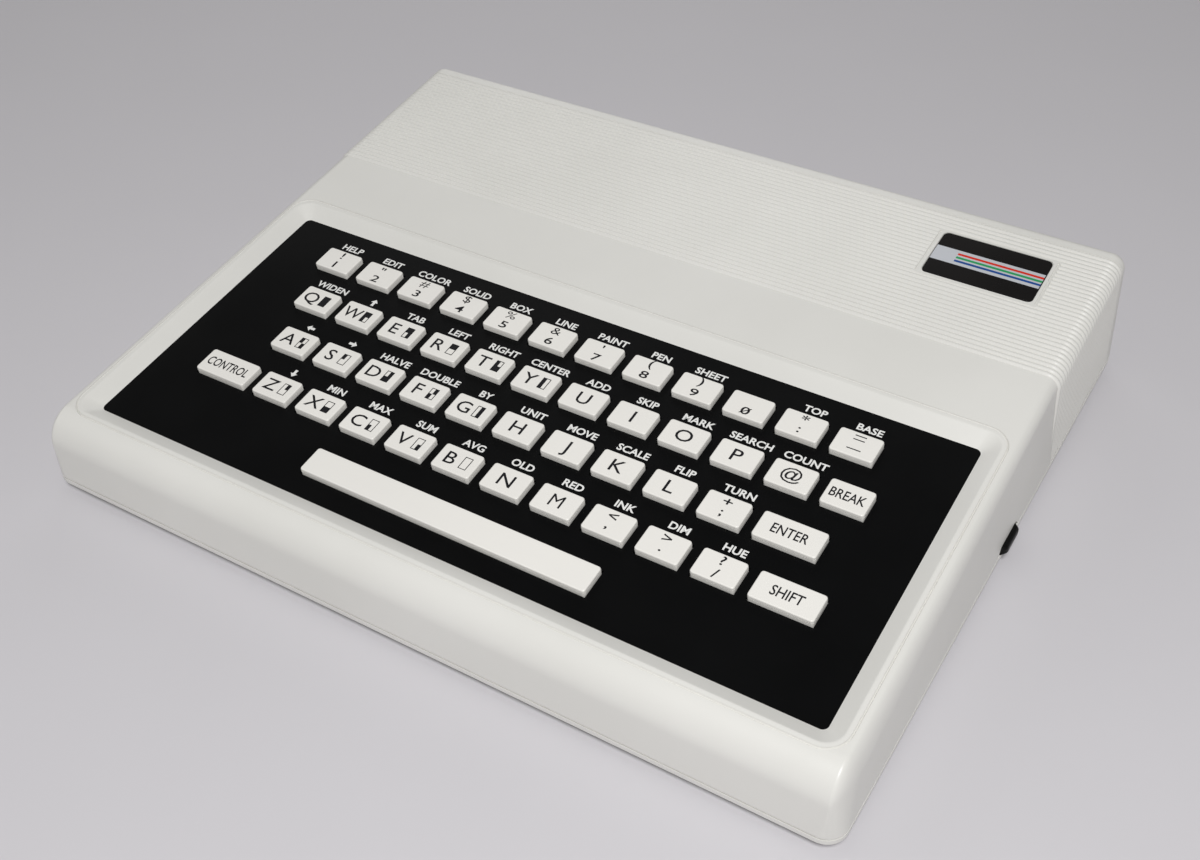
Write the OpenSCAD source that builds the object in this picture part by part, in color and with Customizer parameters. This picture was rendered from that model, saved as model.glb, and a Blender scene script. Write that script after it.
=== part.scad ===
// Wedge-shaped home computer: a two-part moulded case with a ribbed rear, a sloping key panel with
// separate caps over a rubber dome mat, two circuit boards, and sockets and controls on the back.
// Millimetres. X runs to the right, Y to the back, Z up. The origin is on the table under the middle.

/* [Case] */
// Width over the lower edges
case_w = 216; // [212:1:240]
// Depth over the lower edges
case_d = 178; // [176:1:196]
// Slope of the top and of the key panel, in degrees
slope = 5.9; // [5:0.1:7]
// Height of the key panel's front edge above the table
panel_z = 20.3; // [20:0.1:24]
// Distance of the key panel's front edge behind the front of the case
panel_setback = 12.6; // [12:0.1:15]
// Rise of the smooth top above the key panel
top_rise = 2.6; // [2.2:0.1:3.4]
// Thickness of the outer walls
wall = 2.5; // [2:0.1:3]
// Height of the upper case's lower edge
seam_z = 4.5; // [4.2:0.1:5.5]
// Dark gap between the two case halves
seam_gap = 0.35; // [0.2:0.05:0.6]
// Inward lean of the side walls, in degrees
side_draft = 3.3; // [2:0.1:4.5]
// Inward lean of the rear wall, in degrees
rear_draft = 12.9; // [8:0.1:15]
// How far the front face leans back at its top
front_lean = 0.6; // [0.2:0.1:2]
// Radius of the upper front edge
front_r = 8.5; // [6:0.1:10]
// Radius of the upper side edges
shoulder_r = 3; // [2:0.1:4.5]
// Radius of the upright corners
corner_r = 5; // [3:0.1:8]

/* [Ribbed block] */
// Distance from the key panel's front edge to the first rib, along the slope
rib_start = 108.8; // [100:0.1:116]
// Spacing of the ribs
rib_pitch = 1.49; // [1.3:0.01:2.2]
// Radius of a rib's crest
rib_r = 0.85; // [0.8:0.01:1.3]
// Rise of the rib crests above the smooth top
rib_rise = 0.45; // [0.42:0.01:0.8]
// Inward lean of the block's side walls, in degrees
block_draft = 1.6; // [0.5:0.1:3]
// Radius of the block's upper side edges
block_r = 4; // [3.5:0.1:6]
// Radius of the block's upper rear edge
rear_r = 3; // [1.5:0.1:3.5]
// Width of the flat label seat among the ribs
seat_w = 32; // [26:0.5:50]
// Depth of the flat label seat
seat_d = 18.6; // [12:0.1:24]
// Distance of the label seat's middle to the right of the centre line
seat_x = 77.4; // [-70:0.1:80]
// Distance from the key panel's front edge to the label seat's middle
seat_v = 139.3; // [125:0.1:143]
// Border of the seat around the label's recess
seat_border = 1.5; // [1:0.1:3]
// Depth of the label's recess
label_sink = 0.35; // [0.2:0.05:0.5]

/* [Key panel] */
// Distance from the panel's visible side edges to the sides of the case
panel_side = 9.65; // [8:0.05:12]
// Distance from the middle of the top row of keys to the panel's visible rear edge
panel_back = 12; // [11.5:0.1:18]
// Thickness of the key panel
panel_t = 1.2; // [1:0.1:2]
// Hidden margin of the panel under the case
panel_margin = 1.6; // [1:0.1:1.8]
// Corner radius of the panel's visible outline
panel_r = 1.5; // [0.5:0.1:3]
// Width of the sloping wall around the panel
bevel = 4.1; // [3:0.1:4.4]
// Corner radius at the top of the sloping wall
bevel_r = 4.5; // [3:0.1:8]
// Width of the lip around the recess
lip_w = 1; // [0.6:0.1:1.4]
// Width and depth of the fine line outside the lip
line_w = 0.4; // [0.3:0.05:0.6]

/* [Keys] */
// Spacing of the keys along a row
key_pitch = 13.69; // [13:0.01:14]
// Spacing of the rows
row_pitch = 15.16; // [14:0.01:15.4]
// Distance from the panel's front edge to the middle of the space bar
space_v = 9.86; // [8:0.01:11]
// Width of a letter key's top
key_w = 10; // [9:0.1:11]
// Depth of a key's top
key_d = 7; // [6:0.1:8.4]
// Width of the control, shift and enter keys
wide_w = 14.7; // [13:0.1:16]
// Width of the space bar
space_w = 77.6; // [60:0.1:90]
// Height of the key tops above the panel
key_rise = 2.2; // [1.8:0.1:3.2]
// Taper of a key from its foot to its top, each side
key_taper = 0.15; // [0.05:0.05:0.4]
// Rounding of the keys' edges
key_edge = 0.35; // [0.2:0.05:0.5]
// Gap between a key and its window
key_gap = 0.35; // [0.2:0.05:0.5]
// Width of the flange that holds a key under the panel
flange_w = 0.7; // [0.5:0.05:0.9]
// Thickness of that flange
flange_t = 0.9; // [0.6:0.1:1.2]
// Free gap above the flange and under it
flange_gap = 0.15; // [0.05:0.05:0.3]
// Travel of a key
key_travel = 1.5; // [1:0.1:1.8]

/* [Boards] */
// Thickness of the rubber dome mat
mat_t = 0.8; // [0.6:0.1:1.2]
// Radius of a dome at its foot
dome_r = 2.9; // [2:0.1:3.2]
// Room left between a pressed key and the mat
press_room = 0.35; // [0.2:0.05:0.6]
// Thickness of both circuit boards
board_t = 1.6; // [1.2:0.1:2]
// Height of the main board's underside
board_z = 9; // [8.6:0.1:10]
// Distance from the main board's side edges to the sides of the case
board_side = 11; // [10:0.5:14]
// Distance from the main board's front edge to the front of the case
board_front = 17; // [14:1:24]
// Distance from the main board's rear edge to the rear of the case
board_rear = 9; // [8.6:0.1:12]

/* [Lower case] */
// Height of the feet below the lower case
foot_h = 3; // [2:0.1:4]
// Radius of a foot
foot_r = 6; // [4:0.1:9]
// Thickness of the floor
floor_t = 2; // [1.5:0.1:2.5]
// Depth of the seats that the feet are glued into
foot_sink = 0.5; // [0.3:0.1:0.8]
// Height of the inner lip that centres the upper case
lip_h = 2.4; // [1.5:0.1:3]
// Thickness of the inner lip
lip_t = 1.4; // [1:0.1:2]
// Width of a ventilation slot
vent_w = 2.2; // [1.5:0.1:3]
// Length of a ventilation slot
vent_l = 26; // [15:1:32]

/* [Screws] */
// Radius of a screw's shank
screw_r = 1.3; // [1.1:0.05:1.5]
// Length of a screw below its head
screw_l = 5.8; // [5:0.1:5.8]
// Radius of a screw's head
head_r = 2.5; // [2.2:0.1:2.8]
// Height of a screw's head
head_h = 1.6; // [1.2:0.1:2]
// Radius of the screw bosses
boss_r = 2.9; // [2.7:0.1:3.2]

/* [Controls] */
// Distance of the power button's middle behind the middle of the case
power_y = 5.7; // [-20:0.1:20]
// Length of the power button
power_l = 9; // [7:0.1:12]
// Height of the power button's top above the table
power_top = 6.8; // [6.6:0.1:7.4]
// Height of the power button
power_h = 3; // [2.4:0.1:3.2]
// How far the power button stands out of the case
power_out = 1.4; // [1:0.1:3]
// Travel of the power button
power_travel = 1; // [0.6:0.1:1.2]
// Radius of the reset button
reset_r = 3; // [2:0.1:3.5]
// Travel of the reset button
reset_travel = 0.8; // [0.5:0.1:1]
// Travel of the channel switch
channel_travel = 3; // [2:0.1:4]
// Width of the channel switch's knob
channel_w = 3; // [2:0.1:4]

/* [Hidden] */
fit = 0.05; // radial clearance of screws and shafts
gap = 0.3; // clearance between separate pieces
cut = 1; // how far a cutting shape reaches past the surface
eps = 0.01; // a small overlap
slice_t = 0.1; // thickness of the slices that a hull spans

// Places on the slope: v runs up the slope from the panel's front edge and w out of the panel
panel_y = -case_d / 2 + panel_setback;
panel_w = case_w - 2 * panel_side;
panel_d = space_v + 4 * row_pitch + panel_back;
panel_v = panel_d / 2;
crest = top_rise + rib_rise;
function slope_y(v, w) = panel_y + v * cos(slope) - w * sin(slope);
function slope_z(v, w) = panel_z + v * sin(slope) + w * cos(slope);
function to_v(y, w) = (y - panel_y + w * sin(slope)) / cos(slope);
function z_under(y, w) = panel_z + (y - panel_y) * tan(slope) + w / cos(slope);
function half_w(z) = case_w / 2 - (z - seam_z) * tan(side_draft);

// The case's outer corners
front_w = top_rise - front_r;
front_v = to_v(-case_d / 2 + front_lean + front_r, front_w);
front_half = half_w(slope_z(front_v, front_w));
rear_top_z = slope_z(to_v(case_d / 2 - wall, 0), 0);
rear_top_y = case_d / 2 - (rear_top_z - seam_z) * tan(rear_draft);
rear_v = to_v(rear_top_y, crest) - rear_r;
rear_half = half_w(slope_z(rib_start, top_rise - shoulder_r));
block_half = case_w / 2 - (rear_top_z - seam_z - block_r) * tan(block_draft);
rib_count = floor((rear_v - rib_start) / rib_pitch);
rib_end = rib_start + rib_count * rib_pitch;
block_low_y = slope_y(rib_start, (seam_z - slope_z(rib_start, 0)) / cos(slope));
strip_low_y = slope_y(rib_end - gap, (seam_z - slope_z(rib_end - gap, 0)) / cos(slope));

// The space inside
ceiling_half = rear_half - wall - shoulder_r / 3;
ceiling_front = front_v - front_r / 4;
ceiling_rear = rear_v - wall;

// The key panel's sandwich, downwards from the panel's face
skirt_low = -panel_t - flange_gap - flange_t;
mat_top = skirt_low - key_travel - press_room;
mat_low = mat_top - mat_t;
key_board_low = mat_low - board_t;
key_board_w = panel_w + 2 * panel_margin;

// The main board's edges
board_w = case_w - 2 * board_side;
board_top = board_z + board_t;
board_y0 = -case_d / 2 + board_front;
board_y1 = case_d / 2 - board_rear;

// The inner face of the front wall at a height
function inner_front(z) =
    let (y = -case_d / 2 + wall, low = seam_z - cut)
        y + (z - low) * (slope_y(ceiling_front, 0) - y) / (slope_z(ceiling_front, 0) - low);

// Screws through the case, front pair, middle and rear pair, and screws through the keyboard
standing_r = boss_r + 0.8; // radius of the lower case's bosses, which hold the screws' heads
post_front = [case_w / 2 - 13, inner_front(board_z) + gap + standing_r];
post_middle = [0, slope_y(panel_d + panel_margin, 0) + boss_r + 4];
post_rear = [board_w / 2 - 4, board_y1 - 10];
case_screws = [
    [-post_front[0], post_front[1]], post_front, post_middle, [-post_rear[0], post_rear[1]], post_rear
];
counterbore_z = board_z - 2; // height of the face that the screws' heads are drawn up to
key_screw_x = [-4.38, 0, 4.38] * key_pitch; // between the keys of both screwed gaps
key_screw_v = [space_v + row_pitch / 2, space_v + 3.5 * row_pitch];
key_stud_r = screw_r + 1; // radius of the studs under the panel that take the keyboard's screws
board_post = [board_w / 2 - 20, board_y0 + 8];

// The keys: five rows from back to front, with the first key's middle at the start of each row
key_names = [
    ["1", "2", "3", "4", "5", "6", "7", "8", "9", "0", "colon", "minus"],
    ["q", "w", "e", "r", "t", "y", "u", "i", "o", "p", "at", "break"],
    ["a", "s", "d", "f", "g", "h", "j", "k", "l", "semicolon", "enter"],
    ["control", "z", "x", "c", "v", "b", "n", "m", "comma", "period", "slash", "shift"],
    ["space"]
];
row_start = [-77.65, -72.9, -68.2, -75.14, 0.3];
wide_right = ["enter", "shift"];
function is_in(name, list) = len([for (n = list) if (n == name) n]) > 0;
function key_width(name) =
    name == "space" ? space_w : name == "control" || is_in(name, wide_right) ? wide_w : key_w;
function key_shift(name) =
    name == "control" ? -(wide_w - key_w) / 2 : is_in(name, wide_right) ? (wide_w - key_w) / 2 : 0;
function key_x(row, i) = row_start[row] + i * key_pitch + key_shift(key_names[row][i]);
function key_v(row) = space_v + (4 - row) * row_pitch;
// Each key: node name, middle across, middle up the slope, width
KEYS = [
    for (row = [0:4]) for (i = [0:len(key_names[row]) - 1])
        [str("key_", key_names[row][i]), key_x(row, i), key_v(row), key_width(key_names[row][i])]
];

// The back: the sockets keep their distances to the main board's side edges
socket_z = board_top + 9;
socket_front = board_y1 - 14;
nose_l = 4.5; // length of a round socket's nose up to the wall's inner face
din_r = 7;
din_ring = 1.2; // thickness of the ring round a DIN socket
din_depth = 7;
din_x = [board_w / 2 - 93, board_w / 2 - 71];
jack_x = board_w / 2 - 21;
jack_r = 2.8;
jack_ring = 1.6; // thickness of the ring round the power jack
can_x = board_w / 2 - 43;
can_w = 30;
can_h = socket_z + 5 - board_top;
tv_x = can_x - 7;
tv_r = 4.1;
tv_room = 2; // room for an aerial plug's shell round the aerial socket
reset_x = -20;
channel_x = can_x + 7;
switch_room = 1; // the depth of the groove that the channel knob's foot runs in
slot_x = -board_w / 2 + 35;
slot_w = 56;
slot_h = 7;
slot_clear = 1.2; // room above and below the edge connector in its slot
back_face = case_d / 2 - (socket_z - seam_z) * tan(rear_draft);
hole_y = back_face - wall - 6; // where the cuts through the leaning rear wall start
hole_l = 22;
nose_y = back_face - wall - gap;
can_y = nose_y - 3;
reset_body = [8, 12, 12];
reset_y = nose_y - 9;
power_in = case_w / 2 - wall - 9;
keyboard_posts = [-60, 0, 60];
keyboard_post_r = 2.4;
keyboard_post_y = board_y0 - keyboard_post_r - 1;

// Places its children in the panel's sloping frame
module on_slope() {
    translate([0, panel_y, panel_z]) rotate([slope, 0, 0]) children();
}

// A flat outline with round corners, about its middle
module rounded(w, d, r) {
    square([w - 2 * r, d], center = true);
    square([w, d - 2 * r], center = true);
    for (x = [-1, 1], y = [-1, 1])
        translate([x * (w / 2 - r), y * (d / 2 - r)]) circle(r = r, $fn = 48);
}

// The slices at a rounded outline's corners, for a hull
module corner_discs(w, d, r, fn) {
    for (x = [-1, 1], y = [-1, 1])
        translate([x * (w / 2 - r), y * (d / 2 - r), 0]) cylinder(r = r, h = slice_t, $fn = fn);
}

// ---- Upper case ----

// The smooth front of the case, which ends inside the ribbed block
module smooth_body() {
    hull() for (s = [-1, 1]) {
        on_slope() {
            translate([s * (front_half - shoulder_r), front_v, front_w])
                scale([shoulder_r / front_r, 1, 1]) sphere(r = front_r, $fn = 32);
            translate([s * (rear_half - shoulder_r), rib_start + rib_pitch / 2, top_rise - shoulder_r])
                sphere(r = shoulder_r, $fn = 32);
        }
        for (y = [-case_d / 2 + corner_r, block_low_y + rib_pitch / 2])
            translate([s * (case_w / 2 - corner_r), y, seam_z])
                cylinder(r = corner_r, h = slice_t, $fn = 32);
    }
}

// The plain strip behind the last rib, with the rounded rear edge
module rear_strip() {
    hull() for (s = [-1, 1]) {
        on_slope() translate([s * (block_half - block_r), 0, crest - block_r]) {
            translate([0, rib_end - gap, 0]) rotate([-90, 0, 0])
                cylinder(r = block_r, h = slice_t, $fn = 32);
            for (a = [0:22.5:90]) translate([0, rear_v + rear_r * sin(a), 0]) rotate([-90, 0, 0])
                cylinder(r = block_r - rear_r * (1 - cos(a)), h = slice_t, $fn = 32);
        }
        translate([s * (case_w / 2 - cut), strip_low_y + cut, seam_z])
            cylinder(r = cut, h = slice_t, $fn = 32);
        translate([s * (case_w / 2 - corner_r), case_d / 2 - corner_r, seam_z])
            cylinder(r = corner_r, h = slice_t, $fn = 32);
    }
}

// Lift of a rib's surface at a place across the rib, from -1 in one groove over 0 on the crest to 1
function rib_lift(place) = sqrt(pow(rib_r, 2) - pow(place * rib_pitch / 2, 2)) - rib_r;

// A slice across the block, from the left lower edge up over the top to the right lower edge
function block_slice(v, lift) =
    let (low = (seam_z - slope_z(v, 0)) / cos(slope), r = block_r + lift, steps = 5)
    concat(
        [[-case_w / 2 - lift, v, low]],
        [
            for (s = [-1, 1]) for (k = [0:steps])
                let (a = block_draft + (90 - block_draft) * (s < 0 ? k : steps - k) / steps)
                    [s * (block_half - block_r + r * cos(a)), v, crest - block_r + r * sin(a)]
        ],
        [[case_w / 2 + lift, v, low]]
    );

// The ribs run over the top, round the upper side edges and down both sides
module ribbed_block() {
    places = [
        for (i = [0:rib_count - 1]) for (place = [-1, -0.5, 0.5])
            [rib_start + (i + (1 + place) / 2) * rib_pitch, rib_lift(place)],
        [rib_end, rib_lift(1)]
    ];
    slices = [for (p = places) block_slice(p[0], p[1])];
    n = len(slices[0]);
    last = (len(slices) - 1) * n;
    on_slope() polyhedron(
        points = [for (s = slices) for (p = s) p],
        faces = concat(
            [[for (j = [0:n - 1]) j], [for (j = [n - 1:-1:0]) last + j]],
            [
                for (i = [0:n:last - n]) for (j = [0:n - 1])
                    let (k = (j + 1) % n) [i + j, i + n + j, i + n + k, i + k]
            ]
        )
    );
}

// The flat seat among the ribs, with its shallow label recess and two fine upright lines
module label_seat() {
    on_slope() translate([seat_x, seat_v, crest - 2 * rib_r])
        linear_extrude(height = 2 * rib_r) square([seat_w, seat_d], center = true);
}

module label_recess() {
    label_w = seat_w - 2 * seat_border;
    label_d = seat_d - seat_border;
    on_slope() translate([seat_x, seat_v, crest - label_sink]) {
        linear_extrude(height = label_sink + cut) rounded(label_w, label_d, panel_r);
        for (s = [-1, 1]) translate([s * (seat_w / 2 - seat_border / 3), 0, 0])
            linear_extrude(height = label_sink + cut) square([line_w, label_d], center = true);
    }
}

// The keyboard's recess: its wall slopes out from the panel up to the lip
module keyboard_recess() {
    on_slope() translate([0, panel_v, 0]) hull() for (w = [-cut, top_rise + cut]) {
        grow = 2 * bevel * w / top_rise;
        r = panel_r + (bevel_r - panel_r) * w / top_rise;
        translate([0, 0, w]) corner_discs(panel_w + grow, panel_d + grow, r, 32);
    }
}

// The fine line outside the recess's lip
module recess_line() {
    w = panel_w + 2 * (bevel + lip_w);
    d = panel_d + 2 * (bevel + lip_w);
    r = bevel_r + lip_w;
    on_slope() translate([0, panel_v, top_rise - line_w]) linear_extrude(height = cut) difference() {
        rounded(w + 2 * line_w, d + 2 * line_w, r + line_w);
        rounded(w, d, r);
    }
}

// The space inside the upper case, open below
module inside() {
    hull() {
        on_slope() translate([-ceiling_half, ceiling_front, -slice_t])
            cube([2 * ceiling_half, ceiling_rear - ceiling_front, slice_t]);
        translate([-case_w / 2 + wall, -case_d / 2 + wall, seam_z - cut])
            cube([case_w - 2 * wall, case_d - 2 * wall, slice_t]);
    }
}

// The outline of the notch above the power button, seen from the side
module notch_outline(grow) {
    top = power_top + gap / 2 + grow;
    top_half = power_l / 2 + 0.4 + grow;
    low_half = top_half + 3;
    polygon([[low_half, seam_z - cut], [top_half, top], [-top_half, top], [-low_half, seam_z - cut]]);
}

// Cuts along Y through the rear wall
module rear_hole(x, z, r) {
    translate([x, hole_y, z]) rotate([-90, 0, 0]) cylinder(r = r, h = hole_l, $fn = 48);
}

module rear_cutouts() {
    for (x = din_x) rear_hole(x, socket_z, din_r + din_ring + gap);
    rear_hole(jack_x, socket_z, jack_r + jack_ring + gap);
    rear_hole(tv_x, socket_z, tv_r + tv_room + gap);
    rear_hole(reset_x, socket_z, reset_r + gap);
    translate([channel_x, back_face, socket_z])
        cube([channel_travel + channel_w + 4 * gap, hole_l, channel_w + 2 * gap], center = true);
    translate([slot_x - slot_w / 2, hole_y, board_top + slot_clear])
        cube([slot_w, hole_l, slot_h + slot_clear]);
}

// A boss that hangs from the ceiling and takes a screw from below
module hanging_boss(at, low) {
    translate([at[0], at[1], low]) cylinder(r = boss_r, h = z_under(at[1], top_rise / 3) - low, $fn = 48);
}

module hanging_bore(at, low) {
    translate([at[0], at[1], low - cut])
        cylinder(r = screw_r + fit, h = screw_l - (low - counterbore_z) + 2 * cut, $fn = 48);
}

// Each form is hollowed by itself, and then they are joined
module hollowed() {
    difference() {
        children();
        inside();
    }
}

module upper_case() {
    color("#e3e2dc") difference() {
        union() {
            hollowed() smooth_body();
            hollowed() ribbed_block();
            hollowed() rear_strip();
            label_seat();
            for (at = case_screws) hanging_boss(at, at[1] < board_y0 ? board_z : board_top);
        }
        keyboard_recess();
        recess_line();
        label_recess();
        rear_cutouts();
        translate([case_w / 2 - 3 * wall, power_y, 0]) rotate([90, 0, 90])
            linear_extrude(height = 6 * wall) notch_outline(0);
        for (at = case_screws) hanging_bore(at, at[1] < board_y0 ? board_z : board_top);
    }
}

// ---- Lower case ----

// The lower case's place inside the upper case's wall
lip_half = case_w / 2 - wall - 0.7;
lip_front = -case_d / 2 + wall + 0.9;
lip_rear = case_d / 2 - wall - 1.1;

module lip_outline(inset) {
    translate([0, (lip_front + lip_rear) / 2])
        rounded(2 * (lip_half - inset), lip_rear - lip_front - 2 * inset, corner_r - inset);
}

// A tube from the floor that carries the board or meets the boss above, with a deep seat for the head
module standing_boss(at) {
    translate([at[0], at[1], foot_h]) cylinder(r = standing_r, h = board_z - foot_h, $fn = 48);
}

module standing_bore(at) {
    translate([at[0], at[1], foot_h - cut])
        cylinder(r = head_r + gap, h = counterbore_z - foot_h + cut, $fn = 48);
    translate([at[0], at[1], foot_h]) cylinder(r = screw_r + 4 * fit, h = board_z, $fn = 48);
}

// Ventilation slots in two fields under the main board
module vents() {
    for (side = [-1, 1], i = [-4:4])
        translate([side * 45 + i * 2.6 * vent_w, 30, foot_h - cut]) {
            linear_extrude(height = floor_t + 2 * cut) {
                square([vent_w, vent_l - vent_w], center = true);
                for (s = [-1, 1]) translate([0, s * (vent_l - vent_w) / 2])
                    circle(d = vent_w, $fn = 24);
            }
        }
}

foot_at = [case_w / 2 - 17, case_d / 2 - 17];

// Plain posts: two under the main board, and a row in front of it that bears the keyboard
module board_and_keyboard_posts() {
    for (s = [-1, 1]) translate([s * board_post[0], board_post[1], foot_h])
        cylinder(r = boss_r, h = board_z - foot_h, $fn = 48);
    post_top = z_under(keyboard_post_y - keyboard_post_r, key_board_low) - eps;
    for (x = keyboard_posts) translate([x, keyboard_post_y, foot_h])
        cylinder(r = keyboard_post_r, h = post_top - foot_h, $fn = 48);
}

module lower_case() {
    rim_top = seam_z - seam_gap;
    color("#deddd6") difference() {
        union() {
            translate([0, 0, foot_h]) linear_extrude(height = rim_top - foot_h)
                rounded(case_w, case_d, corner_r);
            translate([0, 0, foot_h]) linear_extrude(height = seam_z + lip_h - foot_h) lip_outline(0);
            for (at = case_screws) standing_boss(at);
            board_and_keyboard_posts();
            intersection() {
                translate([lip_half - lip_t, power_y, 0]) rotate([90, 0, 90])
                    linear_extrude(height = half_w(power_top) - gap - lip_half + lip_t)
                        notch_outline(-gap);
                translate([0, 0, foot_h]) cube([case_w, case_d, case_w]);
            }
        }
        difference() {
            translate([0, 0, foot_h + floor_t]) linear_extrude(height = board_z) lip_outline(lip_t);
            for (at = case_screws) standing_boss(at);
            board_and_keyboard_posts();
        }
        for (at = case_screws) standing_bore(at);
        for (x = [-1, 1], y = [-1, 1]) translate([x * foot_at[0], y * foot_at[1], foot_h - cut])
            cylinder(r = foot_r + gap, h = foot_sink + cut, $fn = 48);
        vents();
        translate([power_in - power_travel - gap, power_y - power_l / 2 - gap, power_top - power_h - gap])
            cube([case_w / 2, power_l + 2 * gap, power_h + 2 * gap]);
    }
}

module rubber_feet() {
    color("#2b2b2b") for (x = [-1, 1], y = [-1, 1])
        translate([x * foot_at[0], y * foot_at[1], 0])
            rotate_extrude($fn = 48) polygon([
                [0, 0], [foot_r - 0.8, 0], [foot_r, 0.8], [foot_r, foot_h + foot_sink],
                [0, foot_h + foot_sink]
            ]);
}

// A self-tapping screw, head down, with the underside of its head at the origin
module screw() {
    translate([0, 0, -head_h]) difference() {
        cylinder(r = head_r, h = head_h, $fn = 48);
        for (a = [0, 90]) rotate([0, 0, a]) translate([-head_r * 0.6, -0.3, -cut])
            cube([head_r * 1.2, 0.6, cut + head_h / 2]);
    }
    cylinder(r = screw_r, h = screw_l - screw_r, $fn = 48);
    translate([0, 0, screw_l - screw_r]) cylinder(r1 = screw_r, r2 = screw_r / 4, h = screw_r, $fn = 48);
}

module screws() {
    color("#8d9093") {
        for (at = case_screws) translate([at[0], at[1], counterbore_z]) screw();
        on_slope() for (x = key_screw_x, v = key_screw_v) translate([x, v, key_board_low]) screw();
    }
}

// ---- Keyboard ----

module key_windows() {
    for (k = KEYS) translate([k[1], k[2], -panel_t - cut])
        linear_extrude(height = panel_t + 2 * cut)
            square([k[3] + 2 * (key_taper + key_gap), key_d + 2 * (key_taper + key_gap)], center = true);
}

module key_panel() {
    color("#151516") on_slope() difference() {
        union() {
            translate([0, panel_v, -panel_t]) linear_extrude(height = panel_t)
                square([key_board_w, panel_d + 2 * panel_margin], center = true);
            for (x = key_screw_x, v = key_screw_v) translate([x, v, mat_low])
                cylinder(r = key_stud_r, h = -mat_low - panel_t + eps, $fn = 48);
        }
        key_windows();
        for (x = key_screw_x, v = key_screw_v) translate([x, v, mat_low - cut])
            cylinder(r = screw_r + fit, h = -mat_low - panel_t / 2 + cut, $fn = 48);
    }
}

// A slice of a key with small corner cuts, for the key's hull
module key_slice(w, d, z, r) {
    translate([0, 0, z]) corner_discs(w, d, r, 8);
}

// A key: a tapering cap with softened edges above the panel, and a flange below it
module key(w) {
    foot_w = w + 2 * key_taper;
    foot_d = key_d + 2 * key_taper;
    hull() {
        key_slice(foot_w, foot_d, skirt_low, key_edge);
        key_slice(foot_w, foot_d, 0, key_edge);
        key_slice(w + key_edge, key_d + key_edge, key_rise - key_edge, 2 * key_edge);
        key_slice(w - key_edge / 2, key_d - key_edge / 2, key_rise - slice_t, 2 * key_edge);
    }
    translate([0, 0, skirt_low + flange_t / 2])
        cube([foot_w + 2 * flange_w, foot_d + 2 * flange_w, flange_t], center = true);
}

module key_node(k) {
    color("#ebe6dd") on_slope() translate([k[1], k[2], 0]) key(k[3]);
}

module dome_mat() {
    dome_h = skirt_low - flange_gap - mat_top;
    color("#55585a") on_slope() difference() {
        union() {
            translate([0, panel_v, mat_low]) linear_extrude(height = mat_t)
                square([key_board_w, panel_d + 2 * panel_margin], center = true);
            for (k = KEYS) translate([k[1], k[2], mat_top - eps])
                cylinder(r1 = dome_r, r2 = dome_r / 2, h = dome_h + eps, $fn = 32);
        }
        for (x = key_screw_x, v = key_screw_v) translate([x, v, mat_low - cut])
            cylinder(r = key_stud_r + gap, h = mat_t + 2 * cut, $fn = 48);
    }
}

module keyboard_board() {
    color("#3f6b46") on_slope() difference() {
        translate([0, panel_v, key_board_low]) linear_extrude(height = board_t)
            square([key_board_w, panel_d + 2 * panel_margin], center = true);
        for (x = key_screw_x, v = key_screw_v) translate([x, v, key_board_low - cut])
            cylinder(r = screw_r + fit, h = board_t + 2 * cut, $fn = 48);
    }
}

// ---- Main board ----

// A dual-in-line chip on its legs
module chip(x, y, l, w) {
    translate([x, y, board_top]) {
        translate([-l / 2, -w / 2 + 0.8, 0.6]) cube([l, w - 1.6, 3.4]);
        for (s = [-1, 1]) translate([-l / 2 + 1, s * (w / 2 - 0.4) - 0.4, 0]) cube([l - 2, 0.8, 2.4]);
    }
}

module main_board() {
    color("#2f6a3c") difference() {
        translate([-board_w / 2, board_y0, board_z]) cube([board_w, board_y1 - board_y0, board_t]);
        for (at = case_screws) translate([at[0], at[1], board_z - cut])
            cylinder(r = screw_r + fit, h = board_t + 2 * cut, $fn = 48);
    }
    color("#1b1b1c") {
        for (y = [8, 32]) chip(slot_x, y, 52, 16);
        chip(0, 44, 32, 16);
        for (x = [61, 35], y = [20, 34]) chip(board_w / 2 - x, y, 22, 9);
        translate([20, 30, board_top]) cylinder(r = 5, h = 12, $fn = 32);
    }
    color("#b9bcbf") {
        translate([-26, 20, board_top]) cube([11, 4.5, 12]);
        translate([board_w / 2 - 13, 20, board_top]) cube([3, 34, 16]);
    }
    color("#1b1b1c") {
        translate([reset_x - reset_body[0] / 2, reset_y - reset_body[1] / 2, board_top]) difference() {
            cube([reset_body[0], reset_body[1] / 2, reset_body[2] + 1]);
            translate([reset_body[0] / 2, reset_body[1] / 2 - reset_travel - cut, socket_z - board_top])
                rotate([-90, 0, 0]) cylinder(r = reset_r + fit, h = 20, $fn = 48);
        }
        translate([power_in - power_travel - gap - 10, power_y - 5, board_z - 3.4]) cube([10, 10, 3.4]);
    }
}

// A round socket along Y: a tube closed at the front, with a core that the plug's shell goes round
module din_socket(x) {
    body_w = 2 * (socket_z - board_top);
    translate([x - body_w / 2, socket_front, board_top])
        cube([body_w, nose_y - nose_l - socket_front, body_w]);
    translate([x, nose_y - nose_l - eps, socket_z]) rotate([-90, 0, 0]) difference() {
        cylinder(r = din_r + din_ring, h = nose_l + wall, $fn = 48);
        difference() {
            translate([0, 0, 1]) cylinder(r = din_r, h = din_depth, $fn = 48);
            cylinder(r = din_r - 1.4, h = nose_l + 1, $fn = 48);
        }
        for (a = [-90:45:90]) rotate([0, 0, a - 90]) translate([din_r - 3.4, 0, 1])
            cylinder(r = 0.8, h = din_depth, $fn = 24);
    }
}

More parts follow.
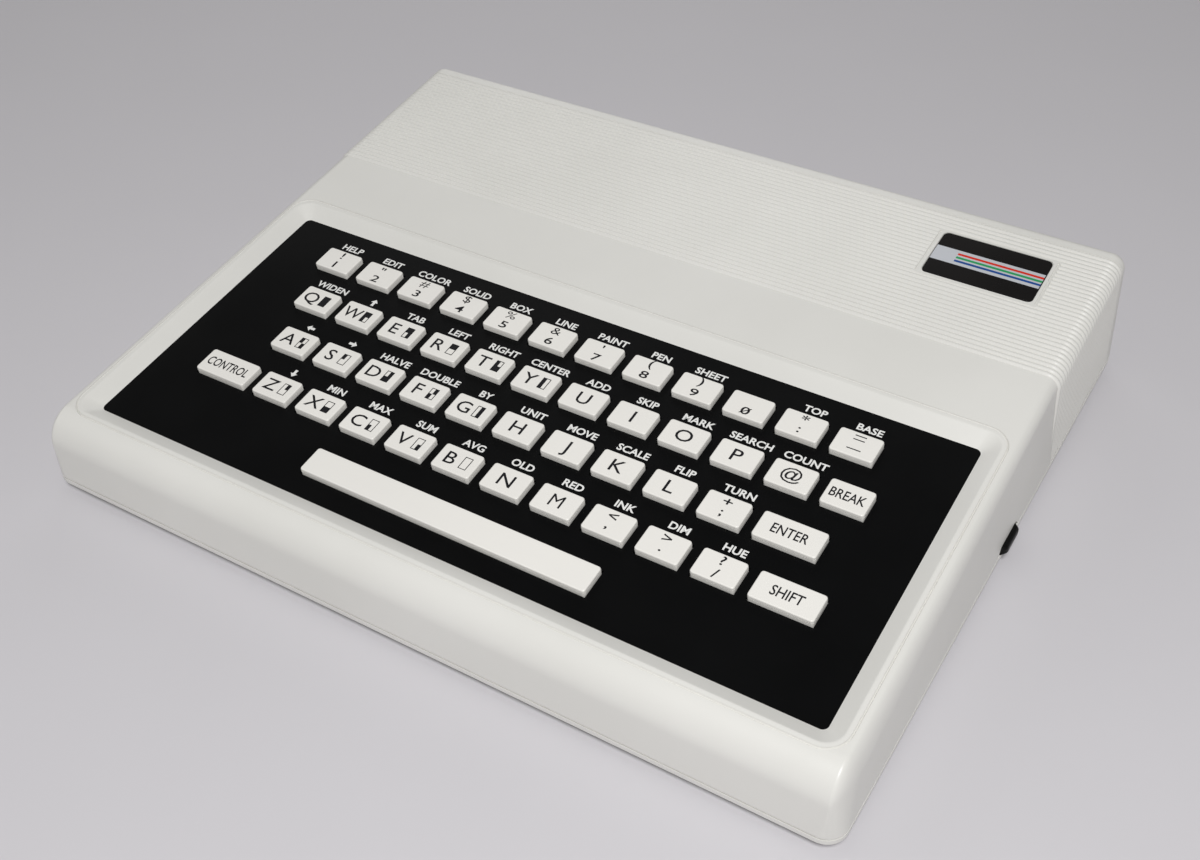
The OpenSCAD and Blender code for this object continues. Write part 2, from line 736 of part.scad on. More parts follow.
module rear_sockets() {
    color("#1d1d1e") {
        for (x = din_x) din_socket(x);
        difference() {
            union() {
                translate([jack_x - 5, socket_front, board_top])
                    cube([10, nose_y - nose_l - socket_front, can_h]);
                translate([jack_x, nose_y - nose_l - eps, socket_z]) rotate([-90, 0, 0])
                    cylinder(r = jack_r + jack_ring, h = nose_l + wall, $fn = 48);
            }
            translate([jack_x, socket_front + 4, socket_z]) rotate([-90, 0, 0])
                cylinder(r = jack_r, h = 20, $fn = 48);
        }
    }
    color("#b7babd") difference() {
        union() {
            translate([can_x - can_w / 2, socket_front - 12, board_top])
                cube([can_w, can_y - socket_front + 12, can_h]);
            translate([tv_x, can_y - eps, socket_z]) rotate([-90, 0, 0])
                cylinder(r = tv_r, h = nose_y - can_y + wall + 4, $fn = 48);
        }
        translate([tv_x, can_y, socket_z]) rotate([-90, 0, 0])
            cylinder(r = 1.6, h = 20, $fn = 48);
        translate([channel_x, can_y, socket_z])
            cube([channel_travel + channel_w + 2 * gap, 2 * switch_room, channel_w + 2 * gap], center = true);
    }
    color("#c9b27a") difference() {
        translate([slot_x - slot_w / 2 + gap, board_y1 - 6, board_top])
            cube([slot_w - 2 * gap, nose_y - board_y1 + 6, slot_h + 2.4]);
        translate([slot_x - slot_w / 2 + gap + 1.5, board_y1 - 3, board_top + 2])
            cube([slot_w - 2 * gap - 3, 20, slot_h - 1.6]);
    }
}

// ---- Controls ----

module power_button() {
    out_x = half_w(power_top) + power_out;
    in_x = power_in;
    color("#161617") translate([0, power_y, power_top - power_h / 2]) hull() {
        translate([in_x, -power_l / 2, -power_h / 2]) cube([eps, power_l, power_h]);
        for (y = [-1, 1], z = [-1, 1])
            translate([out_x - 1.2, y * (power_l / 2 - 1.2), z * (power_h / 2 - 1.2)])
                sphere(r = 1.2, $fn = 16);
        translate([out_x - 1.5, -power_l / 2, -power_h / 2]) cube([eps, power_l, power_h]);
    }
}

module reset_button() {
    color("#b3392f") translate([reset_x, reset_y, socket_z]) rotate([-90, 0, 0])
        cylinder(r = reset_r, h = back_face + 1 - reset_y, $fn = 48);
}

module channel_switch() {
    knob_y = can_y - switch_room + gap / 2;
    color("#161617")
        translate([channel_x - (channel_travel + channel_w) / 2, knob_y, socket_z - channel_w / 2])
            cube([channel_w, back_face + 1 - knob_y, channel_w]);
}

upper_case();
lower_case();
rubber_feet();
screws();
key_panel();
dome_mat();
keyboard_board();
main_board();
rear_sockets();
power_button();
reset_button();
channel_switch();
for (k = KEYS) key_node(k);
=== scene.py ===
import math

import bmesh
import bpy
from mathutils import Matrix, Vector


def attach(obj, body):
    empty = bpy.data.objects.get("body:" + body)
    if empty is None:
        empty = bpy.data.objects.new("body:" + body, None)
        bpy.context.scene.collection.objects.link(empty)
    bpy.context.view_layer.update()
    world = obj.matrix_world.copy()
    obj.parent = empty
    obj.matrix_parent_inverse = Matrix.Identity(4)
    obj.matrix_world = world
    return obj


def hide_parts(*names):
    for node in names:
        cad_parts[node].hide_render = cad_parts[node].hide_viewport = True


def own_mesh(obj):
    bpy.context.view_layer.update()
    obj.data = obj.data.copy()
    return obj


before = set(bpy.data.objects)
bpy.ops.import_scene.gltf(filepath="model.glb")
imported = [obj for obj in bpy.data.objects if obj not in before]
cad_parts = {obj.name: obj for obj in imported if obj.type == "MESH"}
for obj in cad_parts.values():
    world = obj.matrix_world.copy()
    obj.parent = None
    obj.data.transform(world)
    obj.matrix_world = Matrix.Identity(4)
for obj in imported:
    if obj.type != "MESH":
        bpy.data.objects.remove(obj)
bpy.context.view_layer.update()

MM = 0.001
HOUSING = "housing"

# ---- Sizes shared with the solids ----
CASE_W, CASE_D = 216, 178
SLOPE = math.radians(5.9)
PANEL_Y, PANEL_Z = -76.4, 20.3  # the key panel's front edge
PANEL_W, PANEL_D, PANEL_R = 196.7, 82.5, 1.5
TOP_RISE, RIB_RISE = 2.6, 0.45  # smooth top above the panel, ribs above the smooth top
CREST = TOP_RISE + RIB_RISE
WALL, SEAM_Z, CORNER_R = 2.5, 4.5, 5
SIDE_DRAFT, REAR_DRAFT, BLOCK_DRAFT = math.radians(3.3), math.radians(12.9), math.radians(1.6)
FRONT_R, FRONT_LEAN, SHOULDER_R = 8.5, 0.6, 3
BLOCK_R, REAR_R = 4, 3
RIB_START, RIB_PITCH = 108.8, 1.49
BEVEL, BEVEL_R, LIP_W = 4.1, 4.5, 1.0
SEAT_X, SEAT_V, SEAT_W, SEAT_D, SEAT_BORDER, LABEL_SINK = 77.4, 139.3, 32, 18.6, 1.5, 0.35
FLANGE_W, FLANGE_T = 0.7, 0.9
GAP = 0.3
POWER_TOP, POWER_L, POWER_Y = 6.8, 9, 5.7
NOTCH_ROOM, NOTCH_FLARE = 0.4, 3.4  # beside the power button, at the notch's top and at the seam
BOARD_TOP = 10.6
SOCKET_Z = BOARD_TOP + 9
BACK_Y = CASE_D / 2 - (SOCKET_Z - SEAM_Z) * math.tan(REAR_DRAFT)
DIN_X, DIN_R, DIN_WALL = (4, 26), 7, 1.2
JACK_X, JACK_R, JACK_WALL = 76, 2.8, 1.6
TV_X, TV_R, TV_WALL = 47, 4.1, 2
RESET_X, RESET_R = -20, 3
CHANNEL_X, CHANNEL_W, CHANNEL_TRAVEL = 61, 3, 3
SLOT_X, SLOT_W, SLOT_H, SLOT_ROOM = -62, 56, 7, 1.2
MAT_T, DOME_R, DOME_TOP_R, PRESS = 0.8, 2.9, 1.45, 1.5

# ---- Sizes of the forms that are finer here than in the solids ----
RIM_Z = SEAM_Z + 0.25  # the upper case ends here, so that the seam shows as a dark line
RIB_R = 0.78
LIP_EDGE_R, LIP_STEPS = 1.0, 6
LINE_W, LINE_EDGE = 0.5, 0.15  # the fine line round the recess, and the height of its upright edges
SEAT_R, SIDE_LINE_R = 0.2, 0.1
KEY_RISE, KEY_GROW_X, KEY_GROW_V, KEY_CORNER, KEY_EDGE = 1.6, 0.25, 0.15, 0.5, 0.35
KEY_FOOT, KEY_TAPER, KEY_SEAT = 0.04, 0.05, 0.01  # insets below and above the groove, gap to the flange
KEY_CORNER_FALL, KEY_CORNER_LEAST = 0.6, 0.2  # the corners' radius falls with the inset
GROOVE_LOW, GROOVE_HIGH, GROOVE_DEPTH, GROOVE_EDGE = 0.58, 0.76, 0.22, 0.03

# ---- Fineness of the meshes ----
CUT = 1  # how far a cutting tool reaches past a face
HOLE_IN, HOLE_OUT = 6, 16  # how far the rear wall's tools reach into the case and out of it
HAIR = 0.002  # keeps two rings of a loft apart
DISC_H, DISC_SIDES, HOLE_SIDES, DOME_SIDES = 0.1, 64, 48, 24
BALL_AROUND, BALL_ROWS = 48, 24
CORNER_STEPS, KEY_CORNER_STEPS, PLATE_CORNER_STEPS = 10, 5, 8
STEPS_ALONG_RIB, STEPS_ROUND_BLOCK, REAR_STEPS, EDGE_STEPS = 10, 10, 12, 6
FLAT = math.radians(0.05)  # faces that meet at less than this become one
SHELL_ANGLE, CAP_ANGLE, DOME_ANGLE = 32, 40, 50  # in degrees, see smooth


# ---- Places ----
def on_slope(x, v, w):
    """A point of the sloping frame, in metres."""
    y = PANEL_Y + v * math.cos(SLOPE) - w * math.sin(SLOPE)
    z = PANEL_Z + v * math.sin(SLOPE) + w * math.cos(SLOPE)
    return Vector((x, y, z)) * MM


def to_slope(point):
    """The (x, v, w) of a point in metres."""
    x, y, z = point / MM
    dy, dz = y - PANEL_Y, z - PANEL_Z
    return x, dy * math.cos(SLOPE) + dz * math.sin(SLOPE), dz * math.cos(SLOPE) - dy * math.sin(SLOPE)


def v_at(y, w):
    """How far up the slope the plane y lies, at w out of it."""
    return (y - PANEL_Y + w * math.sin(SLOPE)) / math.cos(SLOPE)


def z_at(v, w):
    """The height of a place on the slope."""
    return PANEL_Z + v * math.sin(SLOPE) + w * math.cos(SLOPE)


def half_width(z):
    """Half the smooth front's width at a height, which the sides' draft narrows."""
    return CASE_W / 2 - (z - SEAM_Z) * math.tan(SIDE_DRAFT)


def quarter_turn(steps):
    return [math.radians(90 * i / steps) for i in range(steps + 1)]


def circle(r, sides):
    """Points round a circle about the origin."""
    turns = [2 * math.pi * i / sides for i in range(sides)]
    return [(r * math.cos(a), r * math.sin(a)) for a in turns]


def rounded_ring(w, d, r, steps=CORNER_STEPS):
    """The corners' arcs of a rounded rectangle about the origin, anticlockwise."""
    out = []
    for cx, cy, start in ((1, 1, 0), (-1, 1, 90), (-1, -1, 180), (1, -1, 270)):
        for i in range(steps + 1):
            a = math.radians(start + 90 * i / steps)
            out.append((cx * (w / 2 - r) + r * math.cos(a), cy * (d / 2 - r) + r * math.sin(a)))
    return out


def slope_ring(x, v, w, ring):
    return [on_slope(x + a, v + b, w) for a, b in ring]


# ---- Meshes ----
def linked(name, data):
    obj = bpy.data.objects.new(name, data)
    bpy.context.scene.collection.objects.link(obj)
    return obj


def mesh_from(name, bm):
    mesh = bpy.data.meshes.new(name)
    bm.to_mesh(mesh)
    bm.free()
    return mesh


def object_from(name, bm):
    bmesh.ops.recalc_face_normals(bm, faces=bm.faces)
    return linked(name, mesh_from(name, bm))


def lofted(name, rings, closed=False):
    """Joins rings of equally many points.

    The ends are capped, unless the loft is closed: then its last ring joins its first.
    """
    bm = bmesh.new()
    loops = [[bm.verts.new(p) for p in ring] for ring in rings]
    count = len(loops[0])
    for a, b in zip(loops, loops[1:] + loops[:1] if closed else loops[1:]):
        for i in range(count):
            bm.faces.new((a[i], a[(i + 1) % count], b[(i + 1) % count], b[i]))
    if not closed:
        bm.faces.new(loops[0][::-1])
        bm.faces.new(loops[-1])
    return object_from(name, bm)


def hulled(name, points):
    bm = bmesh.new()
    for p in points:
        bm.verts.new(p)
    result = bmesh.ops.convex_hull(bm, input=bm.verts)
    inner = [e for e in result["geom_interior"] if isinstance(e, bmesh.types.BMVert)]
    bmesh.ops.delete(bm, geom=inner, context="VERTS")
    bmesh.ops.dissolve_limit(bm, angle_limit=FLAT, verts=bm.verts, edges=bm.edges)
    return object_from(name, bm)


def combine(target, tool, operation):
    """Applies a boolean and removes the tool. The result has no material yet."""
    mod = target.modifiers.new("boolean", "BOOLEAN")
    mod.operation = operation
    mod.solver = "MANIFOLD"
    mod.object = tool
    graph = bpy.context.evaluated_depsgraph_get()
    mesh = bpy.data.meshes.new_from_object(target.evaluated_get(graph))
    target.modifiers.clear()
    mesh.materials.clear()
    for polygon in mesh.polygons:
        polygon.material_index = 0
    target.data = mesh
    bpy.data.objects.remove(tool)


def smooth(obj, angle):
    """Shades smooth, with the edges kept that turn by more than the angle in degrees."""
    for polygon in obj.data.polygons:
        polygon.use_smooth = True
    obj.data.set_sharp_from_angle(angle=math.radians(angle))
    mod = obj.modifiers.new("normals", "WEIGHTED_NORMAL")
    mod.keep_sharp = True


def finish_piece(obj, body, materials):
    for m in materials:
        obj.data.materials.append(m)
    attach(obj, body)


def box_object(name, low, high):
    corners = [Vector((x, y, z)) * MM for z in (low[2], high[2])
               for x, y in ((low[0], low[1]), (high[0], low[1]), (high[0], high[1]), (low[0], high[1]))]
    return lofted(name, [corners[:4], corners[4:]])


def cylinder_y(name, x, z, r, y0, y1):
    ring = circle(r, HOLE_SIDES)
    return lofted(name, [[Vector((x + a, y, z + b)) * MM for a, b in ring] for y in (y0, y1)])


def slope_plate(name, x, v, w0, w1, width, depth, r):
    ring = rounded_ring(width, depth, r, PLATE_CORNER_STEPS)
    return lofted(name, [slope_ring(x, v, w0, ring), slope_ring(x, v, w1, ring)])


# ---- Materials ----
NOISE_LOW, NOISE_HIGH = 0.3, 0.7  # the part of a noise's range that is used
MOTTLE_SCALE, SHEEN_SCALE, STREAK_SCALE = 18, 60, 900
SHEEN_SPREAD, STREAK_SPREAD = (-0.05, 0.06), (-0.08, 0.12)  # how far the roughness strays
BUMP_STRENGTH = 0.5


def principled(name, color, roughness, metallic=0.0, specular=0.5):
    mat = bpy.data.materials.new(name)
    mat.use_nodes = True
    tree = mat.node_tree
    shader = tree.nodes["Principled BSDF"]
    shader.inputs["Base Color"].default_value = (*color, 1)
    shader.inputs["Roughness"].default_value = roughness
    shader.inputs["Metallic"].default_value = metallic
    shader.inputs["Specular IOR Level"].default_value = specular
    return mat, tree, shader


def noise(tree, scale, detail, distort=0.0):
    coord = tree.nodes.new("ShaderNodeTexCoord")
    node = tree.nodes.new("ShaderNodeTexNoise")
    node.inputs["Scale"].default_value = scale
    node.inputs["Detail"].default_value = detail
    node.inputs["Distortion"].default_value = distort
    tree.links.new(coord.outputs["Object"], node.inputs["Vector"])
    return node.outputs["Fac"]


def vary_roughness(tree, shader, source, roughness, spread):
    node = tree.nodes.new("ShaderNodeMapRange")
    node.inputs["From Min"].default_value = NOISE_LOW
    node.inputs["From Max"].default_value = NOISE_HIGH
    node.inputs["To Min"].default_value = roughness + spread[0]
    node.inputs["To Max"].default_value = roughness + spread[1]
    tree.links.new(source, node.inputs["Value"])
    tree.links.new(node.outputs["Result"], shader.inputs["Roughness"])


def moulded(name, color, roughness, grain=2600, bump=0.012, mottle=0.03, soil=0.0, **more):
    """Moulded plastic or rubber: a fine spark-eroded grain, slightly uneven colour and sheen.

    bump is the grain's depth. mottle is how far the colour strays, and soil yellows its dark end.
    """
    mat, tree, shader = principled(name, color, roughness, **more)
    broad = noise(tree, MOTTLE_SCALE, 4)
    ramp = tree.nodes.new("ShaderNodeValToRGB")
    low, high = ramp.color_ramp.elements
    low.position, high.position = NOISE_LOW, NOISE_HIGH
    low.color = (*[c * (1 - mottle - soil) for c in color[:2]], color[2] * (1 - mottle - 2 * soil), 1)
    high.color = (*[min(c * (1 + mottle), 1) for c in color], 1)
    tree.links.new(broad, ramp.inputs["Fac"])
    tree.links.new(ramp.outputs["Color"], shader.inputs["Base Color"])
    sheen = noise(tree, SHEEN_SCALE, 3)
    vary_roughness(tree, shader, sheen, roughness, SHEEN_SPREAD)
    fine = noise(tree, grain, 2)
    height = tree.nodes.new("ShaderNodeBump")
    height.inputs["Strength"].default_value = BUMP_STRENGTH
    height.inputs["Distance"].default_value = bump * MM
    tree.links.new(fine, height.inputs["Height"])
    tree.links.new(height.outputs["Normal"], shader.inputs["Normal"])
    return mat


def brushed(name, color, roughness):
    """Plated or machined metal with fine streaks."""
    mat, tree, shader = principled(name, color, roughness, metallic=1.0)
    streaks = noise(tree, STREAK_SCALE, 4, 0.4)
    vary_roughness(tree, shader, streaks, roughness, STREAK_SPREAD)
    return mat


CASE = moulded("case_plastic", (0.75, 0.742, 0.708), 0.36, soil=0.004)
KEY = moulded("key_plastic", (0.85, 0.832, 0.79), 0.34, grain=1800, bump=0.006, mottle=0.02)
PANEL = moulded("panel_black", (0.0020, 0.0021, 0.0023), 0.36, grain=3000, bump=0.006, mottle=0.12,
                specular=0.1)
BUTTON = moulded("button_black", (0.003, 0.003, 0.003), 0.38, specular=0.15)
RUBBER = moulded("rubber_black", (0.02, 0.02, 0.021), 0.75, grain=1500, bump=0.03)
MAT_GREY = moulded("mat_grey", (0.09, 0.09, 0.095), 0.6, grain=1500, bump=0.02)
BOARD = moulded("board_green", (0.03, 0.13, 0.05), 0.4, grain=700, bump=0.02, mottle=0.2)
SOCKET = moulded("socket_black", (0.02, 0.02, 0.021), 0.3, grain=1600, bump=0.005)
RED = moulded("button_red", (0.45, 0.03, 0.02), 0.35)
STEEL = brushed("zinc_steel", (0.55, 0.56, 0.57), 0.32)
KEY_INK = moulded("key_ink", (0.008, 0.008, 0.010), 0.5, grain=3000, bump=0.004, mottle=0.15,
                  specular=0.2)
PANEL_INK = moulded("panel_ink", (0.82, 0.82, 0.80), 0.5, grain=3000, bump=0.004, mottle=0.04)
LABEL = moulded("label_black", (0.006, 0.005, 0.005), 0.3, grain=900, bump=0.003, mottle=0.1,
                specular=0.15)
LABEL_SILVER = moulded("label_silver", (0.60, 0.62, 0.66), 0.32, grain=900, bump=0.003, mottle=0.05,
                       metallic=0.15)
LABEL_COLORS = [moulded("label_" + name, color, 0.3, grain=900, bump=0.003, specular=0.2)
                for name, color in (("red", (0.66, 0.03, 0.012)), ("green", (0.02, 0.32, 0.11)),
                                    ("blue", (0.01, 0.07, 0.28)))]


# ---- Upper case ----
def ball(x, v, w, rx, r):
    """Points of a ball on the slope, narrower or wider along x."""
    out = []
    for i in range(BALL_ROWS + 1):
        polar = math.pi * i / BALL_ROWS
        for j in range(BALL_AROUND):
            a = 2 * math.pi * j / BALL_AROUND
            out.append(on_slope(x + rx * math.sin(polar) * math.cos(a),
                                v + r * math.sin(polar) * math.sin(a), w + r * math.cos(polar)))
    return out


def upright_disc(x, y, r):
    """A thin disc that stands on the upper case's rim."""
    return [Vector((x + a, y + b, RIM_Z + up)) * MM for a, b in circle(r, DISC_SIDES)
            for up in (0, DISC_H)]


def edge_disc(x, v, w, r):
    """A thin disc square to the slope's direction."""
    return [on_slope(x + a, v + back, w + b) for a, b in circle(r, DISC_SIDES) for back in (0, DISC_H)]


def low_w(v):
    """How far below the panel's plane the upper case ends, just above the seam."""
    return (RIM_Z - z_at(v, 0)) / math.cos(SLOPE)


def rim_y(v):
    """Where the line square to the slope at v meets the upper case's rim."""
    return (on_slope(0, v, low_w(v)) / MM).y


# Centres and halves of the hulls' balls and discs
FRONT_W = TOP_RISE - FRONT_R
FRONT_V = v_at(-CASE_D / 2 + FRONT_LEAN + FRONT_R, FRONT_W)
FRONT_HALF = half_width(z_at(FRONT_V, FRONT_W))
REAR_HALF = half_width(z_at(RIB_START, TOP_RISE - SHOULDER_R))
REAR_TOP_Z = z_at(v_at(CASE_D / 2 - WALL, 0), 0)
REAR_TOP_Y = CASE_D / 2 - (REAR_TOP_Z - SEAM_Z) * math.tan(REAR_DRAFT)
REAR_V = v_at(REAR_TOP_Y, CREST) - REAR_R
STRIP_R = 1
BLOCK_HALF = CASE_W / 2 - (REAR_TOP_Z - SEAM_Z - BLOCK_R) * math.tan(BLOCK_DRAFT)
RIB_COUNT = math.floor((REAR_V - RIB_START) / RIB_PITCH)
RIB_END = RIB_START + RIB_COUNT * RIB_PITCH


def smooth_front():
    points = []
    for s in (-1, 1):
        points += ball(s * (FRONT_HALF - SHOULDER_R), FRONT_V, FRONT_W, SHOULDER_R, FRONT_R)
        points += ball(s * (REAR_HALF - SHOULDER_R), RIB_START + RIB_PITCH / 2, TOP_RISE - SHOULDER_R,
                       SHOULDER_R, SHOULDER_R)
        for y in (-CASE_D / 2 + CORNER_R, rim_y(RIB_START) + RIB_PITCH / 2):
            points += upright_disc(s * (CASE_W / 2 - CORNER_R), y, CORNER_R)
    return hulled("upper_case_shell", points)


def rear_strip():
    points = []
    start = RIB_END - GAP
    for s in (-1, 1):
        x = s * (BLOCK_HALF - BLOCK_R)
        points += edge_disc(x, start, CREST - BLOCK_R, BLOCK_R)
        for a in quarter_turn(REAR_STEPS):
            points += edge_disc(x, REAR_V + REAR_R * math.sin(a), CREST - BLOCK_R,
                                BLOCK_R - REAR_R * (1 - math.cos(a)))
        points += upright_disc(s * (CASE_W / 2 - STRIP_R), rim_y(start) + STRIP_R, STRIP_R)
        points += upright_disc(s * (CASE_W / 2 - CORNER_R), CASE_D / 2 - CORNER_R, CORNER_R)
    return hulled("strip", points)


def block_slice(v, lift):
    """The ribbed block's outline at v, out over both sides and round its upper edges."""
    r = BLOCK_R + lift
    ring = [on_slope(-CASE_W / 2 - lift, v, low_w(v))]
    for s in (-1, 1):
        for k in range(STEPS_ROUND_BLOCK + 1):
            turn = k if s < 0 else STEPS_ROUND_BLOCK - k
            a = BLOCK_DRAFT + (math.pi / 2 - BLOCK_DRAFT) * turn / STEPS_ROUND_BLOCK
            ring.append(on_slope(s * (BLOCK_HALF - BLOCK_R + r * math.cos(a)), v,
                                 CREST - BLOCK_R + r * math.sin(a)))
    ring.append(on_slope(CASE_W / 2 + lift, v, low_w(v)))
    return ring


def ribbed_block():
    """The ribs run over the top, round the upper side edges and down both sides."""
    rings = []
    for i in range(RIB_COUNT * STEPS_ALONG_RIB + 1):
        place = 2 * (i % STEPS_ALONG_RIB) / STEPS_ALONG_RIB - 1
        lift = math.sqrt(RIB_R ** 2 - (place * RIB_PITCH / 2) ** 2) - RIB_R
        rings.append(block_slice(RIB_START + i * RIB_PITCH / STEPS_ALONG_RIB, lift))
    return lofted("block", rings)


def recess_tool():
    """The recess widens up from the panel, with a softly rounded upper edge."""
    lean = math.atan2(TOP_RISE, BEVEL)
    centre = BEVEL + LIP_EDGE_R * math.tan(lean / 2)
    profile = [(-BEVEL / TOP_RISE * CUT, -CUT)]
    for i in range(LIP_STEPS + 1):
        a = lean * (1 - i / LIP_STEPS)
        profile.append((centre - LIP_EDGE_R * math.sin(a), TOP_RISE - LIP_EDGE_R * (1 - math.cos(a))))
    profile.append((centre + HAIR, TOP_RISE + CUT))
    rings = []
    for out, w in profile:
        r = PANEL_R + (BEVEL_R - PANEL_R) * out / BEVEL
        ring = rounded_ring(PANEL_W + 2 * out, PANEL_D + 2 * out, r)
        rings.append(slope_ring(0, PANEL_D / 2, w, ring))
    return lofted("recess", rings)


def line_tool():
    """The fine V-shaped line along the recess's outer edge."""
    out = BEVEL + LIP_W
    edge_w = TOP_RISE - LINE_EDGE
    rings = []
    for grow, w in ((0, edge_w), (LINE_W / 2, TOP_RISE - LINE_W), (LINE_W, edge_w),
                    (LINE_W, TOP_RISE + CUT), (0, TOP_RISE + CUT)):
        d = out + grow
        ring = rounded_ring(PANEL_W + 2 * d, PANEL_D + 2 * d, BEVEL_R + LIP_W + grow)
        rings.append(slope_ring(0, PANEL_D / 2, w, ring))
    return lofted("line", rings, closed=True)


def inside_tool():
    ceiling_half = REAR_HALF - WALL - SHOULDER_R / 3
    front, rear = FRONT_V - FRONT_R / 4, REAR_V - WALL
    points = [on_slope(s * ceiling_half, v, 0) for s in (-1, 1) for v in (front, rear)]
    points += [Vector((s * (CASE_W / 2 - WALL), t * (CASE_D / 2 - WALL), SEAM_Z - CUT)) * MM
               for s in (-1, 1) for t in (-1, 1)]
    return hulled("inside", points)


def notch_tool():
    """The notch that the lower case's tab round the power button fills."""
    low, top = SEAM_Z - CUT, POWER_TOP + GAP / 2
    outline = [(POWER_L / 2 + NOTCH_FLARE, low), (POWER_L / 2 + NOTCH_ROOM, top),
               (-POWER_L / 2 - NOTCH_ROOM, top), (-POWER_L / 2 - NOTCH_FLARE, low)]
    return lofted("notch", [[Vector((x, POWER_Y + y, z)) * MM for y, z in outline]
                            for x in (CASE_W / 2 - 3 * WALL, CASE_W / 2 + 3 * WALL)])


def rear_tools():
    y0, y1 = BACK_Y - WALL - HOLE_IN, BACK_Y + HOLE_OUT
    holes = [(x, DIN_R + DIN_WALL + GAP) for x in DIN_X]
    holes += [(JACK_X, JACK_R + JACK_WALL + GAP), (TV_X, TV_R + TV_WALL + GAP), (RESET_X, RESET_R + GAP)]
    tools = [cylinder_y("hole", x, SOCKET_Z, r, y0, y1) for x, r in holes]
    half = (CHANNEL_TRAVEL + CHANNEL_W + 4 * GAP) / 2
    high = CHANNEL_W / 2 + GAP
    tools.append(box_object("hole", (CHANNEL_X - half, y0, SOCKET_Z - high),
                            (CHANNEL_X + half, y1, SOCKET_Z + high)))
    tools.append(box_object("hole", (SLOT_X - SLOT_W / 2, y0, BOARD_TOP + SLOT_ROOM),
                            (SLOT_X + SLOT_W / 2, y1, BOARD_TOP + SLOT_H + 2 * SLOT_ROOM)))
    return tools


def label_tools():
    """The label's sunk field and the fine lines at its two ends."""
    low, high, depth = CREST - LABEL_SINK, CREST + CUT, SEAT_D - SEAT_BORDER
    tools = [slope_plate("label", SEAT_X, SEAT_V, low, high, SEAT_W - 2 * SEAT_BORDER, depth, PANEL_R)]
    for s in (-1, 1):
        x = SEAT_X + s * (SEAT_W / 2 - SEAT_BORDER / 3)
        tools.append(slope_plate("groove", x, SEAT_V, low, high, LINE_W, depth, SIDE_LINE_R))
    return tools


def upper_case():
    shell = smooth_front()
    seat = slope_plate("seat", SEAT_X, SEAT_V, CREST - 2 * RIB_R, CREST, SEAT_W, SEAT_D, SEAT_R)
    for part in (ribbed_block(), rear_strip(), seat):
        combine(shell, part, "UNION")
    cuts = [inside_tool(), recess_tool(), line_tool(), notch_tool()] + label_tools() + rear_tools()
    for tool in cuts:
        combine(shell, tool, "DIFFERENCE")
    smooth(shell, SHELL_ANGLE)
    finish_piece(shell, HOUSING, [CASE])
    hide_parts("upper_case")


# ---- Lettering and symbols: plain letters, digits, signs and words of no maker ----
TEXT_STEPS = 3
BLOCK_W, BLOCK_H, BLOCK_LINE = 2.15, 3.75, 0.21
ARROW_UP = [(-0.4, -1.2), (0.4, -1.2), (0.4, 0.1), (1.05, 0.1), (0, 1.25), (-1.05, 0.1), (-0.4, 0.1)]


def text_outline(text, weight=0.0):
    """A flat outline of the text at size one: (points, faces)."""
    curve = bpy.data.curves.new("text", "FONT")
    curve.body = text
    curve.offset = weight
    curve.resolution_u = TEXT_STEPS
    obj = linked("text", curve)
    bpy.context.view_layer.update()
    mesh = bpy.data.meshes.new_from_object(obj.evaluated_get(bpy.context.evaluated_depsgraph_get()))
    points = [v.co.copy() for v in mesh.vertices]
    faces = [list(p.vertices) for p in mesh.polygons]
    bpy.data.objects.remove(obj)
    bpy.data.curves.remove(curve)
    bpy.data.meshes.remove(mesh)
    return points, faces


H_HEIGHTS = [p.y for p in text_outline("H")[0]]
CAPITAL = max(H_HEIGHTS) - min(H_HEIGHTS)


def text_shape(text, cap, stretch=1.0, weight=0.0):
    """The text's outline in millimetres about its middle, its capitals cap high: (points, faces)."""
    points, faces = text_outline(text, weight)
    scale = cap / CAPITAL
    xs = [p.x for p in points]
    middle = (min(xs) + max(xs)) / 2
    return [((p.x - middle) * scale * stretch, p.y * scale - cap / 2) for p in points], faces


def centred(shape):
    """The shape moved so that its own box is about the origin."""
    points, faces = shape
    dx = (min(p[0] for p in points) + max(p[0] for p in points)) / 2
    dy = (min(p[1] for p in points) + max(p[1] for p in points)) / 2
    return [(x - dx, y - dy) for x, y in points], faces


def polygon_shape(points):
    return points, [list(range(len(points)))]


def rectangle(x0, y0, x1, y1):
    return polygon_shape([(x0, y0), (x1, y0), (x1, y1), (x0, y1)])


def placed(shape, dx, dy, turn=0.0):
    points, faces = shape
    c, s = math.cos(turn), math.sin(turn)
    return [(x * c - y * s + dx, x * s + y * c + dy) for x, y in points], faces


def block_symbol(filled):
    """A character cell's outline with some of its quarters filled: top left, top right, and the two below."""
    x, y = BLOCK_W / 2, BLOCK_H / 2
    x_in, y_in = x - BLOCK_LINE, y - BLOCK_LINE
    shapes = [rectangle(-x, -y, -x + BLOCK_LINE, y), rectangle(x_in, -y, x, y),
              rectangle(-x + BLOCK_LINE, -y, x_in, -y + BLOCK_LINE),
              rectangle(-x + BLOCK_LINE, y_in, x_in, y)]
    for quarter, (sx, sy) in zip(filled, ((-1, 1), (1, 1), (-1, -1), (1, -1))):
        if quarter == "x":
            x0, x1 = sorted((0, sx * x_in))
            y0, y1 = sorted((0, sy * y_in))
            shapes.append(rectangle(x0, y0, x1, y1))
    return shapes


def add_shapes(bm, shapes, x, v, w, material):
    """Lays flat shapes on the slope at a height."""
    for points, faces in shapes:
        verts = [bm.verts.new(on_slope(x + a, v + b, w)) for a, b in points]
        for f in faces:
            face = bm.faces.new([verts[i] for i in f])
            face.normal_update()
            if face.normal.z < 0:
                face.normal_flip()
            face.material_index = material


